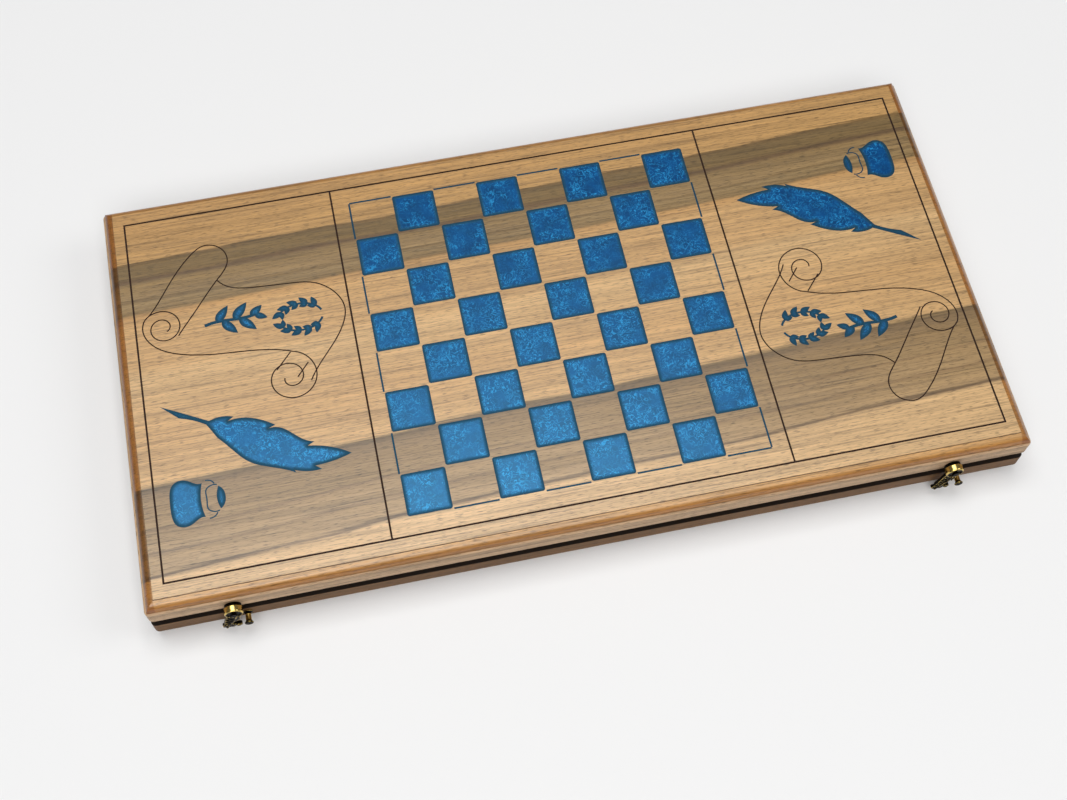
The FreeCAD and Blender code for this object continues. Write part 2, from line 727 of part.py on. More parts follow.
# ---- Hinges ----
lower_leaf = hinge_leaf(0, pin_press)
upper_leaf = mirrored(hinge_leaf(1, pin_fit))
pin = hinge_pin()
lower_screws = hinge_screws()
for name, place in (("left", -hinge_x), ("right", hinge_x)):
    for piece, node in ((lower_leaf, "hinge_lower_leaf"), (upper_leaf, "hinge_upper_leaf"),
                        (pin, "hinge_pin"), (group(lower_screws), "hinge_lower_screws"),
                        (mirrored(group(lower_screws)), "hinge_upper_screws")):
        copy = piece.copy()
        copy.translate(Vec(place, 0, 0))
        export(copy, name + "_" + node)

# ---- Clasps ----
for name, place in (("left", -clasp_x), ("right", clasp_x)):
    for piece, node in ((clasp_base(), "clasp_base"), (clasp_pivot_screw(), "clasp_pivot_screw"),
                        (clasp_hook(), "clasp_hook"), (catch_stud(), "catch_stud")):
        piece.translate(Vec(place, 0, 0))
        export(piece, name + "_" + node)
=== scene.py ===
"""Folding backgammon case with a resin-inlaid chessboard on its lid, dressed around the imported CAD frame."""
import math

import bpy
import numpy as np
from mathutils import Matrix, Quaternion, Vector
from mathutils.kdtree import KDTree


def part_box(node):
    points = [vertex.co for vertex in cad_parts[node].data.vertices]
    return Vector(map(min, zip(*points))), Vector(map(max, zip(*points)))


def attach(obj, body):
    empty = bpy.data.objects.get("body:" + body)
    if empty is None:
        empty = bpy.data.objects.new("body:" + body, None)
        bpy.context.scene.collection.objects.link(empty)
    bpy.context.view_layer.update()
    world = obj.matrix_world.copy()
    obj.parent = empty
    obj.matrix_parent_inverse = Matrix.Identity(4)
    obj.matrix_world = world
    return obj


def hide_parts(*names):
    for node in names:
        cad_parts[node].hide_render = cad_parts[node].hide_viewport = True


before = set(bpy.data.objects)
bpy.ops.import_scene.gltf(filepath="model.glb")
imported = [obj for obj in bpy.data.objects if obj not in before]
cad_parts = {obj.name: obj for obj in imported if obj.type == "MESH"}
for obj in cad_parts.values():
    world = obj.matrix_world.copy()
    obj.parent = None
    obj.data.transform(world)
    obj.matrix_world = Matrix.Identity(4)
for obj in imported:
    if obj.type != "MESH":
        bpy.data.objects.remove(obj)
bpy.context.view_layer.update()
bpy.ops.object.select_all(action="DESELECT")

# ---- Lower outer board ----
# A panel of plain walnut under the lower half, with a step and a quarter round run on all four
# edges. It is planed, oiled and left without decoration, and the case stands on it.
MM = 0.001
MOULDING = 6 * MM


def linear(colour):
    """An sRGB hex colour as the linear values that a shader takes."""
    shares = [int(colour[place:place + 2], 16) / 255 for place in (1, 3, 5)]
    return [s / 12.92 if s <= 0.04045 else ((s + 0.055) / 1.055) ** 2.4 for s in shares] + [1.0]


def add(tree, kind, sockets=None, stops=None, **settings):
    """Adds a node with its settings. A socket is given a value, or another node's output to link."""
    node = tree.nodes.new("ShaderNode" + kind)
    for name, value in settings.items():
        setattr(node, name, value)
    for socket, value in (sockets or {}).items():
        if isinstance(value, bpy.types.NodeSocket):
            tree.links.new(value, node.inputs[socket])
        else:
            node.inputs[socket].default_value = value
    if stops:
        ramp = node.color_ramp
        while len(ramp.elements) < len(stops):
            ramp.elements.new(0.5)
        for element, (place, colour) in zip(ramp.elements, stops):
            element.position = place
            element.color = linear(colour) if isinstance(colour, str) else [colour] * 3 + [1.0]
    return node


def new_finish(name):
    """An empty material: its node tree, and the surface shader joined to the output."""
    finish = bpy.data.materials.new(name)
    finish.use_nodes = True
    tree = finish.node_tree
    tree.nodes.clear()
    surface = add(tree, "BsdfPrincipled")
    add(tree, "OutputMaterial", {"Surface": surface.outputs["BSDF"]})
    return finish, tree, surface


# A colour Mix takes its share in socket 0 and its two colours in 6 and 7, and gives output 2.
DARKEN = {"data_type": "RGBA", "blend_type": "MULTIPLY"}
BLEND = {"data_type": "RGBA", "blend_type": "MIX"}

# Walnut under oil: how far the edge of a band feathers, and, as (noise, brightness), how its
# growth lines, streaks and pores darken and lighten it.
FEATHER = 5 * MM
TONES = [(0.34, 0.80), (0.46, 0.96), (0.56, 1.04), (0.68, 1.12)]
STREAKS = [(0.32, 0.62), (0.42, 0.90), (0.52, 1.02), (0.68, 1.18)]
PORES = [(0.34, 0.50), (0.42, 1.0)]
# The scorch starts just under the face and is full a tenth of a millimetre down. End grain takes
# hold round the corner of the board, and the lip's painted shade creeps a little past its own edge.
SCORCH, SCORCH_FROM, SCORCH_FULL = "#2E1507", 0.01 * MM, 0.12 * MM
END_GRAIN_FROM, END_GRAIN_FULL = -0.3 * MM, 0.5 * MM
# painted shade for the lip recess, and how far it reaches past the lip
LIP_PAINTED_SHADE, SHADE_CREEP = "#1C120A", 0.6 * MM


def repeats(along, across):
    """The Mapping scale of marks that are so many mm long and so many mm wide."""
    return 1 / (along * MM), 1 / (across * MM), 1 / (across * MM)


def oiled_wood(name, figure, turn=0.0, drift=0.0, spread=0.0, roughness=0.46, waver=16.0,
               burnt_below=None, end_grain=None, moulding=None, lip=None, shine=0.5):
    """Walnut, planed and oiled: satin, with fine streaks and open pores that show as dark dashes.

    figure gives the colours across the grain and turn points the grain. drift and spread slope
    the growth bands as in a flat-sawn plank, and they wander by waver mm. The others give the
    gloss, and the places of what is darker: the scorched pockets, the end grain, and the painted
    light and shade on the moulding and on the lip.
    """
    finish, tree, surface = new_finish(name)
    place = add(tree, "TexCoord").outputs["Object"]
    grain = add(tree, "Mapping", {"Vector": place, "Rotation": (0, 0, math.radians(turn))}).outputs[0]
    axes = add(tree, "SeparateXYZ", {0: grain})
    along, across = axes.outputs["X"], axes.outputs["Y"]

    # bands: the distance across the grain, sloped, spread and gently wavering
    slope = add(tree, "Math", {0: across, 1: spread, 2: -drift}, operation="MULTIPLY_ADD").outputs[0]
    sloped = add(tree, "Math", {0: along, 1: slope, 2: across}, operation="MULTIPLY_ADD").outputs[0]
    stretched = add(tree, "Mapping", {"Vector": grain, "Scale": repeats(312.5, 111.1)}).outputs[0]
    wander = add(tree, "TexNoise", {"Vector": stretched, "Scale": 1.0, "Detail": 2.0}).outputs["Fac"]
    wavered = add(tree, "Math", {0: wander, 1: waver * MM, 2: sloped}, operation="MULTIPLY_ADD").outputs[0]
    hairs = add(tree, "Mapping", {"Vector": grain, "Scale": repeats(62.5, 1.25)}).outputs[0]
    hair = add(tree, "TexNoise", {"Vector": hairs, "Scale": 1.0, "Detail": 3.0,
                                  "Roughness": 0.6}).outputs["Fac"]
    feathered = add(tree, "Math", {0: hair, 1: FEATHER, 2: wavered}, operation="MULTIPLY_ADD").outputs[0]
    low, high = figure[0][0] * MM, figure[-1][0] * MM
    middle = 0.5 * (waver * MM + FEATHER)
    across_board = add(tree, "MapRange", {"Value": feathered, "From Min": low + middle,
                                          "From Max": high + middle}).outputs[0]
    stops = [((mm * MM - low) / (high - low), colour) for mm, colour in figure]
    colour = add(tree, "ValToRGB", {"Fac": across_board}, stops=stops).outputs["Color"]

    # growth lines 6 mm apart, streaks about 1 mm apart, and pores drawn 0.5 mm wide and 7 mm long,
    # which is coarser than real ones, so that they show
    lines = add(tree, "Mapping", {"Vector": grain, "Scale": repeats(200, 5.88)}).outputs[0]
    line = add(tree, "TexNoise", {"Vector": lines, "Scale": 1.0, "Detail": 4.0,
                                  "Roughness": 0.65}).outputs["Fac"]
    tone = add(tree, "ValToRGB", {"Fac": line}, stops=TONES).outputs["Color"]
    colour = add(tree, "Mix", {0: 1.0, 6: colour, 7: tone}, **DARKEN).outputs[2]
    streak = add(tree, "ValToRGB", {"Fac": hair}, stops=STREAKS).outputs["Color"]
    colour = add(tree, "Mix", {0: 1.0, 6: colour, 7: streak}, **DARKEN).outputs[2]
    dashes = add(tree, "Mapping", {"Vector": grain, "Scale": repeats(6.67, 0.5)}).outputs[0]
    dash = add(tree, "TexNoise", {"Vector": dashes, "Scale": 1.0, "Detail": 1.0}).outputs["Fac"]
    pore = add(tree, "ValToRGB", {"Fac": dash}, stops=PORES).outputs["Color"]
    colour = add(tree, "Mix", {0: 1.0, 6: colour, 7: pore}, **DARKEN).outputs[2]

    gloss = add(tree, "MapRange", {"Value": line, "To Min": roughness + 0.08,
                                   "To Max": roughness - 0.08}).outputs[0]
    if moulding:
        # the quarter round gets a painted highlight along its top and painted shade that deepens
        # down its curve; the little wall of the step above it is painted darkest. The colours are
        # given by mm below the top.
        top, depth, moulding_shades = moulding
        height = add(tree, "SeparateXYZ", {0: place}).outputs["Z"]
        drop = add(tree, "MapRange", {"Value": height, "From Min": top,
                                      "From Max": top - depth * MM}).outputs[0]
        stops = [(below / depth, moulding_shade) for below, moulding_shade in moulding_shades]
        moulding_shade = add(tree, "ValToRGB", {"Fac": drop}, stops=stops).outputs["Color"]
        colour = add(tree, "Mix", {0: 1.0, 6: colour, 7: moulding_shade}, **DARKEN).outputs[2]
    if end_grain:
        # the mouldings at the two ends cut across the fibres, which drink oil and turn darker
        edge, tint = end_grain
        reach = add(tree, "Math", {0: along}, operation="ABSOLUTE").outputs[0]
        at_end = add(tree, "MapRange", {"Value": reach, "From Min": edge + END_GRAIN_FROM,
                                        "From Max": edge + END_GRAIN_FULL}).outputs[0]
        colour = add(tree, "Mix", {0: at_end, 6: colour, 7: linear(tint)}, **DARKEN).outputs[2]
    if lip:
        # painted shade: the set-back lip at the parting plane, in the recess under the rails, is painted
        # nearly black
        lip_x, lip_y, bottom, top = lip
        spot = add(tree, "SeparateXYZ", {0: place})
        outer = []
        for axis, limit in (("X", lip_x), ("Y", lip_y)):
            out = add(tree, "Math", {0: spot.outputs[axis]}, operation="ABSOLUTE").outputs[0]
            outer.append(add(tree, "Math", {0: out, 1: limit - SHADE_CREEP},
                             operation="GREATER_THAN").outputs[0])
        on_lip = add(tree, "Math", {0: outer[0], 1: outer[1]}, operation="MAXIMUM").outputs[0]
        for bound, test in ((bottom, "GREATER_THAN"), (top, "LESS_THAN")):
            within = add(tree, "Math", {0: spot.outputs["Z"], 1: bound}, operation=test).outputs[0]
            on_lip = add(tree, "Math", {0: on_lip, 1: within}, operation="MULTIPLY").outputs[0]
        colour = add(tree, "Mix", {0: on_lip, 6: colour, 7: linear(LIP_PAINTED_SHADE)}, **BLEND).outputs[2]
    if burnt_below:
        # walls and floors of the pockets and engraved lines are scorched by the cutter
        top, inside_x, inside_y = burnt_below
        spot = add(tree, "SeparateXYZ", {0: place})
        depth = add(tree, "MapRange", {"Value": spot.outputs["Z"], "From Min": top - SCORCH_FROM,
                                       "From Max": top - SCORCH_FULL}).outputs[0]
        for axis, limit in (("X", inside_x), ("Y", inside_y)):
            out = add(tree, "Math", {0: spot.outputs[axis]}, operation="ABSOLUTE").outputs[0]
            within = add(tree, "Math", {0: out, 1: limit}, operation="LESS_THAN").outputs[0]
            depth = add(tree, "Math", {0: depth, 1: within}, operation="MULTIPLY").outputs[0]
        colour = add(tree, "Mix", {0: depth, 6: colour, 7: linear(SCORCH)}, **BLEND).outputs[2]
        gloss = add(tree, "Math", {0: gloss, 1: depth}, operation="MAXIMUM").outputs[0]

    tree.links.new(colour, surface.inputs["Base Color"])
    tree.links.new(gloss, surface.inputs["Roughness"])
    surface.inputs["IOR"].default_value = 1.5
    surface.inputs["Specular IOR Level"].default_value = shine
    grit = add(tree, "Math", {0: hair, 1: dash}, operation="ADD").outputs[0]
    relief = add(tree, "Bump", {"Height": grit, "Strength": 0.35, "Distance": 0.12 * MM}).outputs[0]
    tree.links.new(relief, surface.inputs["Normal"])
    return finish


def dress(finish, *nodes):
    """Gives CAD nodes their finish."""
    for node in nodes:
        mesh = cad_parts[node].data
        mesh.materials.clear()
        mesh.materials.append(finish)


# colours across the board as (mm from its middle line, colour), and so for every wood below
UNDERSIDE_FIGURE = [(-160, "#8A6544"), (-90, "#7B5838"), (-70, "#9A7450"), (0, "#A37C55"),
                    (60, "#8F6A48"), (100, "#6E4E33"), (160, "#8A6544")]
oiled_underside = oiled_wood("oiled_walnut_underside", UNDERSIDE_FIGURE, turn=1.5, drift=0.02,
                             end_grain=(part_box("lower_outer_board")[1].x - MOULDING, "#B08A66"))
dress(oiled_underside, "lower_outer_board")

# ---- Lower frame ----
# Four walnut rails, mitred and glued round the board, with a set-back lip at the parting plane.
# They are darker heartwood than the lid, and the grain runs along each rail.
HEARTWOOD_FIGURE = [(-170, "#7E5A33"), (-150, "#6B4A28"), (-60, "#75532F"), (60, "#6E4D2B"),
                    (150, "#7E5A33"), (170, "#644424")]
HEARTWOOD_END_FIGURE = [(-320, "#7E5A33"), (-290, "#6B4A28"), (0, "#75532F"), (290, "#6E4D2B"),
                        (320, "#7E5A33")]
LIP_SETBACK, LIP_HEIGHT = 3.5 * MM, 4.2 * MM
rail_low, rail_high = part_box("lower_front_rail")
parting = rail_high.z
# the lip recess on both frames is painted nearly black as shade
shaded_lip = (rail_high.x - LIP_SETBACK, -rail_low.y - LIP_SETBACK,
               parting - LIP_HEIGHT, parting + LIP_HEIGHT)
heartwood_along_x = oiled_wood("oiled_heartwood_long_rails", HEARTWOOD_FIGURE, roughness=0.55,
                               lip=shaded_lip, shine=0.25)
heartwood_along_y = oiled_wood("oiled_heartwood_short_rails", HEARTWOOD_END_FIGURE, turn=90,
                               roughness=0.55, lip=shaded_lip, shine=0.25)
dress(heartwood_along_x, "lower_front_rail", "lower_back_rail")
dress(heartwood_along_y, "lower_left_rail", "lower_right_rail")

# ---- Playing boards and points ----
# Thin boards glued inside each half, with long points let in flush: six at each end of a half,
# alternately blue resin and dark walnut.
PLAY_FIGURE = [(-160, "#C9A273"), (-80, "#BE9565"), (-20, "#CDA87A"), (40, "#C29A69"),
               (110, "#B88E5E"), (160, "#C9A273")]
dress(oiled_wood("oiled_walnut_playing_board", PLAY_FIGURE, drift=0.03),
      "lower_playing_board", "upper_playing_board")
DARK_FIGURE = [(-160, "#4A2F1C"), (-60, "#573A24"), (40, "#442A18"), (160, "#523520")]
dress(oiled_wood("dark_walnut_points", DARK_FIGURE, drift=0.02),
      "lower_walnut_points", "upper_walnut_points")

# The resin's deeper and paler blue, its wisps, the sheen of the mica, and the navy of its rim,
# partly the scorched wood seen through the resin and partly painted shade at the pocket's edge,
# which fades inwards between two distances from the edge.
DEEP_BLUE, BODY_BLUE, WISP_BLUE, MICA_SHEEN = "#003066", "#004280", "#2A92D0", "#7CD4FF"
RIM_SCORCH_AND_SHADE_BLUE, RIM_FROM, RIM_TO = "#001222", 0.75 * MM, 3.8 * MM
RIM_ROUGHNESS, RESIN_ROUGHNESS = 0.6, 0.28


def epoxy(name):
    """Cast epoxy with blue mica, sanded flush and oiled over with the wood.

    It is given no colour yet, only its gloss, the broad blue sheen of the mica under the clear
    surface, and a faint unevenness where the mica curls.
    """
    finish, tree, surface = new_finish(name)
    place = add(tree, "TexCoord").outputs["Object"]
    swirl = add(tree, "TexNoise", {"Vector": place, "Scale": 1 / (3.45 * MM), "Detail": 1.0,
                                   "Roughness": 0.5, "Distortion": 1.3}).outputs["Fac"]
    surface.inputs["Roughness"].default_value = RESIN_ROUGHNESS
    surface.inputs["IOR"].default_value = 1.62
    surface.inputs["Specular IOR Level"].default_value = 1.0
    surface.inputs["Specular Tint"].default_value = linear(MICA_SHEEN)
    relief = add(tree, "Bump", {"Height": swirl, "Strength": 0.1, "Distance": 0.05 * MM}).outputs[0]
    tree.links.new(relief, surface.inputs["Normal"])
    return finish, tree, surface, place, swirl


def poured_resin(name, rim_from=None):
    """Epoxy whose pale wisps, 3 to 8 mm long, curl in a deeper blue where the mica settled.

    The rim that touches the cut wood is navy and dull: partly the scorched wood seen through the
    resin and partly painted shade at the pocket's edge. rim_from builds, in the tree, the
    distance in metres from the nearest edge of the inlay, and without it there is no rim.
    """
    finish, tree, surface, place, swirl = epoxy(name)
    centred = add(tree, "Math", {0: swirl, 1: 0.5}, operation="SUBTRACT").outputs[0]
    ridge = add(tree, "Math", {0: centred}, operation="ABSOLUTE").outputs[0]
    wisp = add(tree, "ValToRGB", {"Fac": ridge},
               stops=[(0.0, 1.0), (0.025, 0.6), (0.06, 0.0)]).outputs["Color"]
    cloud = add(tree, "TexNoise", {"Vector": place, "Scale": 1 / (13.33 * MM),
                                   "Detail": 2.0}).outputs["Fac"]
    clouds = add(tree, "ValToRGB", {"Fac": cloud}, stops=[(0.38, 0.2), (0.58, 1.0)]).outputs["Color"]
    wisps = add(tree, "Mix", {0: 1.0, 6: wisp, 7: clouds}, **DARKEN).outputs[2]
    depth = add(tree, "TexNoise", {"Vector": place, "Scale": 1 / (8.33 * MM),
                                   "Detail": 3.0}).outputs["Fac"]
    body = add(tree, "ValToRGB", {"Fac": depth},
               stops=[(0.34, DEEP_BLUE), (0.66, BODY_BLUE)]).outputs["Color"]
    colour = add(tree, "Mix", {0: wisps, 6: body, 7: linear(WISP_BLUE)}, **BLEND).outputs[2]
    if rim_from:
        inner = add(tree, "MapRange", {"Value": rim_from(tree, place), "From Min": RIM_FROM,
                                       "From Max": RIM_TO}, interpolation_type="SMOOTHSTEP").outputs[0]
        # navy at the rim: the scorched wood seen through the resin, and painted shade at the pocket's edge
        colour = add(tree, "Mix", {0: inner, 6: linear(RIM_SCORCH_AND_SHADE_BLUE), 7: colour}, **BLEND).outputs[2]
        gloss = add(tree, "MapRange", {"Value": inner, "To Min": RIM_ROUGHNESS,
                                       "To Max": RESIN_ROUGHNESS}).outputs[0]
        tree.links.new(gloss, surface.inputs["Roughness"])
    tree.links.new(colour, surface.inputs["Base Color"])
    return finish


dress(poured_resin("poured_blue_resin_points"), "lower_resin_points", "upper_resin_points")

# ---- Upper frame ----
# The same four rails on the lid's side, in the paler sapwood of the same walnut. They are mitred
# and glued under the lid board, and their lip gets the same painted shade as the lower one.
SAPWOOD_FIGURE = [(-170, "#BFA080"), (-150, "#B79877"), (-60, "#B79877"), (60, "#AD8D6C"),
                  (150, "#B79877"), (170, "#AD8D6C")]
SAPWOOD_END_FIGURE = [(-320, "#B08F6C"), (-290, "#B79877"), (0, "#AD8D6C"), (290, "#B79877"),
                      (320, "#A88762")]
dress(oiled_wood("oiled_sapwood_long_rails", SAPWOOD_FIGURE, roughness=0.55, lip=shaded_lip, shine=0.3),
      "upper_front_rail", "upper_back_rail")
dress(oiled_wood("oiled_sapwood_short_rails", SAPWOOD_END_FIGURE, turn=90, roughness=0.55,
                 lip=shaded_lip, shine=0.3),
      "upper_left_rail", "upper_right_rail")

# ---- Lid board ----
# The lid is one wide board of flat-sawn walnut: pale honey wood with two grey-brown heartwood
# bands that climb a little to the right. Frame lines and scrolls are engraved with a hot cutter.
lid_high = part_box("upper_outer_board")[1]
# pockets and engraved lines lie further in than this
ENGRAVED_INSIDE = MOULDING + 1 * MM
# painted light by mm below the top: the face, the step's wall painted dark, a painted highlight at the top of
# the quarter round and painted shade down its curve
MOULDING_LIGHT_AND_SHADE = [(0.10, 1.0), (0.26, "#4A3018"), (1.04, "#4A3018"), (1.25, "#F2E4CC"),
                   (2.18, "#E6D0A8"), (3.51, "#CBA76C")]
SHADED_DEPTH = 7.8
LID_FIGURE = [(-160, "#CDA878"), (-119, "#D0AA78"), (-118, "#6C5438"), (-116.5, "#7B6242"),
              (-115, "#A98A60"), (-104, "#A08257"), (-102, "#836846"), (-100, "#A3855B"),
              (-88, "#9E8056"), (-86.5, "#806544"), (-85, "#9A7D53"), (-72, "#95784F"),
              (-62, "#866C49"), (-59, "#6E583B"), (-57, "#897049"), (-56, "#C8A06C"),
              (-20, "#C69C67"), (20, "#CEA875"), (30, "#C49B67"), (62, "#C89E68"),
              (71, "#BC9059"), (72.5, "#866C44"), (80, "#957B52"), (82, "#765E3A"),
              (84, "#987C52"), (96, "#8C7147"), (99, "#644C32"), (102, "#7E653C"),
              (110, "#7C643D"), (114, "#725833"), (115, "#BC925A"), (160, "#BC9059")]
lid_wood = oiled_wood("oiled_walnut_lid", LID_FIGURE, drift=0.041, spread=0.07, roughness=0.31, shine=0.8,
                      burnt_below=(lid_high.z, lid_high.x - ENGRAVED_INSIDE, lid_high.y - ENGRAVED_INSIDE),
                      end_grain=(lid_high.x - MOULDING, "#D9C4A4"),
                      moulding=(lid_high.z, SHADED_DEPTH, MOULDING_LIGHT_AND_SHADE))
dress(lid_wood, "upper_outer_board")

# ---- Chess squares and rim lines ----
# Blue resin is poured in the routed pockets and sanded flush. Dark squares are resin and the
# light ones are the bare lid; a thin resin line closes the rim beside each light square.
SQUARE = 31.0 * MM
CORNER_SOFTNESS = 1.2 * MM


def from_square_edge(tree, place):
    """Distance from the nearest side of the chess square that a point is in."""
    spot = add(tree, "SeparateXYZ", {0: place})
    inward = [add(tree, "Math", {0: spot.outputs[axis], 1: SQUARE / 2}, operation="PINGPONG").outputs[0]
              for axis in ("X", "Y")]
    return add(tree, "Math", {0: inward[0], 1: inward[1], 2: CORNER_SOFTNESS},
               operation="SMOOTH_MIN").outputs[0]


dress(poured_resin("poured_blue_resin_squares", from_square_edge), "chess_squares")

# the lines are too narrow to have a pale middle, so they are rim all over: scorched wood seen through the
# resin, with painted shade
line_resin, _, line_surface, _, _ = epoxy("poured_blue_resin_lines")
line_surface.inputs["Base Color"].default_value = linear(RIM_SCORCH_AND_SHADE_BLUE)
line_surface.inputs["Roughness"].default_value = RIM_ROUGHNESS
dress(line_resin, "chess_rim_lines")

# ---- Quill, ink pot and leaf inlays ----
# The same resin in pockets with a free outline. Each piece is the CAD inlay cut into a fine net
# over its top, so that the navy rim can follow the outline. The right-hand ones are the same
# pieces half a turn round.
NET = 1.5 * MM
WELD = 0.002 * MM
OUTLINE_STEP = 0.3 * MM


def own_copy(mesh, name):
    """A new object with its own copy of a mesh, at the origin."""
    piece = bpy.data.objects.new(name, mesh.copy())
    bpy.context.scene.collection.objects.link(piece)
    return piece


def edit(piece):
    """Starts work on one piece in edit mode, with all of it selected."""
    bpy.ops.object.select_all(action="DESELECT")
    piece.select_set(True)
    bpy.context.view_layer.objects.active = piece
    bpy.ops.object.mode_set(mode="EDIT")
    bpy.ops.mesh.select_all(action="SELECT")


def flooded_inlay(node, name):
    """The inlay as one closed solid with a net over it; each point keeps its distance from the rim."""
    piece = own_copy(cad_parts[node].data, name)
    edit(piece)
    bpy.ops.mesh.remove_doubles(threshold=WELD)
    bpy.ops.mesh.select_all(action="SELECT")
    bpy.ops.mesh.dissolve_limited(angle_limit=math.radians(1))
    low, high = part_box(node)
    for axis in (0, 1):
        steps = int((high[axis] - low[axis]) / NET)
        for step in range(1, steps + 1):
            spot, square_to = [0.0, 0.0, 0.0], [0.0, 0.0, 0.0]
            spot[axis] = low[axis] + step * (high[axis] - low[axis]) / (steps + 1)
            square_to[axis] = 1.0
            bpy.ops.mesh.select_all(action="SELECT")
            bpy.ops.mesh.bisect(plane_co=spot, plane_no=square_to)
    bpy.ops.object.mode_set(mode="OBJECT")

    # points along the outline, where the flat top meets the upright wall
    mesh = piece.data
    top = high.z - 0.01 * MM
    points = []
    walls = {}
    for face in mesh.polygons:
        for edge in face.edge_keys:
            walls.setdefault(edge, []).append(abs(face.normal.z))
    for edge, leans in walls.items():
        start, end = (mesh.vertices[v].co for v in edge)
        if min(leans) < 0.5 < max(leans) and start.z > top and end.z > top:
            count = 1 + int((end - start).length / OUTLINE_STEP)
            points += [start.lerp(end, step / count) for step in range(count + 1)]
    tree = KDTree(len(points))
    for index, point in enumerate(points):
        tree.insert(point, index)
    tree.balance()
    rim = mesh.attributes.new("from_rim", "FLOAT", "POINT")
    for vertex in mesh.vertices:
        rim.data[vertex.index].value = tree.find(vertex.co)[2]
    return piece


def from_outline(tree, place):
    """Distance from the outline of a free inlay, kept on its points."""
    return add(tree, "Attribute", attribute_name="from_rim").outputs["Fac"]


inlay_resin = poured_resin("poured_blue_resin_motifs", from_outline)
for motif in ("feather", "ink_pot", "sprigs"):
    left = flooded_inlay("left_" + motif, "resin_%s_left" % motif)
    left.data.materials.clear()
    left.data.materials.append(inlay_resin)
    right = own_copy(left.data, "resin_%s_right" % motif)
    right.data.transform(Matrix.Rotation(math.pi, 4, "Z"))
    for piece, side in ((left, "left_"), (right, "right_")):
        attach(piece, "upper_half")
        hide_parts(side + motif)

# ---- Hinges ----
# Two small butt hinges of brushed brass are let into the back rails. Each has two leaves that turn
# on one pin, and three countersunk screws hold each leaf.


def brushed_metal(name, bright, dark, roughness, streak):
    """Sheet metal brushed along its length, a little dulled in patches a few mm across."""
    finish, tree, surface = new_finish(name)
    place = add(tree, "TexCoord").outputs["Object"]
    patches = add(tree, "TexNoise", {"Vector": place, "Scale": 1 / (3.33 * MM), "Detail": 3.0}).outputs["Fac"]
    brushed = add(tree, "Mapping", {"Vector": place, "Scale": streak}).outputs[0]
    lines = add(tree, "TexNoise", {"Vector": brushed, "Scale": 1.0, "Detail": 2.0}).outputs["Fac"]
    colour = add(tree, "Mix", {0: patches, 6: linear(dark), 7: linear(bright)}, **BLEND).outputs[2]
    tree.links.new(colour, surface.inputs["Base Color"])
    surface.inputs["Metallic"].default_value = 1.0
    gloss = add(tree, "MapRange", {"Value": lines, "To Min": roughness - 0.08,
                                   "To Max": roughness + 0.12}).outputs[0]
    tree.links.new(gloss, surface.inputs["Roughness"])
    relief = add(tree, "Bump", {"Height": lines, "Strength": 0.2, "Distance": 0.03 * MM}).outputs[0]
    tree.links.new(relief, surface.inputs["Normal"])
    return finish


brushed_brass = brushed_metal("brushed_brass", "#D9B765", "#A98440", 0.32, repeats(5, 0.4))
for side in ("left_", "right_"):
    dress(brushed_brass, side + "hinge_lower_leaf", side + "hinge_upper_leaf", side + "hinge_pin",
          side + "hinge_lower_screws", side + "hinge_upper_screws")

# ---- Clasp bases ----
# A round base of brass, turned with a groove and then darkened, keeps each hook off the upper
# front rail. The pivot screw goes through it into the wood.


def antique_brass(name):
    """Cast brass darkened with acid, then rubbed so that only what stands proud is bright.

    Each piece keeps on its points how far it stands out from what is round it; on the hook's eye the same
    values also carry a painted highlight along the top of its wall.
    """
    finish, tree, surface = new_finish(name)
    place = add(tree, "TexCoord").outputs["Object"]
    proud = add(tree, "Attribute", attribute_name="proud").outputs["Fac"]
    blotch = add(tree, "TexNoise", {"Vector": place, "Scale": 1 / (1.11 * MM), "Detail": 3.0}).outputs["Fac"]
    uneven = add(tree, "Math", {0: blotch, 1: 0.5, 2: proud}, operation="MULTIPLY_ADD").outputs[0]
    # bright where worn proud, and on the hook's eye also where a painted highlight is set
    rubbed = add(tree, "MapRange", {"Value": uneven, "From Min": 0.96, "From Max": 1.15},
                 interpolation_type="SMOOTHSTEP").outputs[0]
    colour = add(tree, "Mix", {0: rubbed, 6: linear("#0B0804"), 7: linear("#D8BA6C")}, **BLEND).outputs[2]
    tree.links.new(colour, surface.inputs["Base Color"])
    surface.inputs["Metallic"].default_value = 1.0
    gloss = add(tree, "MapRange", {"Value": rubbed, "To Min": 0.5, "To Max": 0.22}).outputs[0]
    tree.links.new(gloss, surface.inputs["Roughness"])
    relief = add(tree, "Bump", {"Height": blotch, "Strength": 0.3, "Distance": 0.05 * MM}).outputs[0]
    tree.links.new(relief, surface.inputs["Normal"])
    return finish


aged_brass = antique_brass("antique_brass")


def mark_proud(piece, reach, scale):
    """Keeps on each point how far it stands out from its surroundings, from 0 to 1.

    The surroundings are the points within reach edges, and standing out by half of scale is 1.
    """
    mesh = piece.data
    count = len(mesh.vertices)
    places, normals = np.empty(count * 3), np.empty(count * 3)
    mesh.vertices.foreach_get("co", places)
    mesh.vertices.foreach_get("normal", normals)
    places, normals = places.reshape(-1, 3), normals.reshape(-1, 3)
    pairs = np.empty(len(mesh.edges) * 2, int)
    mesh.edges.foreach_get("vertices", pairs)
    first, second = pairs.reshape(-1, 2).T
    shared = np.maximum(np.bincount(pairs, minlength=count), 1)
    blurred = places.copy()
    for _ in range(reach):
        total = np.stack([np.bincount(first, blurred[second, axis], count)
                          + np.bincount(second, blurred[first, axis], count) for axis in range(3)], 1)
        blurred = total / shared[:, None]
    proud = 0.5 + ((places - blurred) * normals).sum(1) / scale
    mesh.attributes.new("proud", "FLOAT", "POINT").data.foreach_set("value", np.clip(proud, 0, 1))


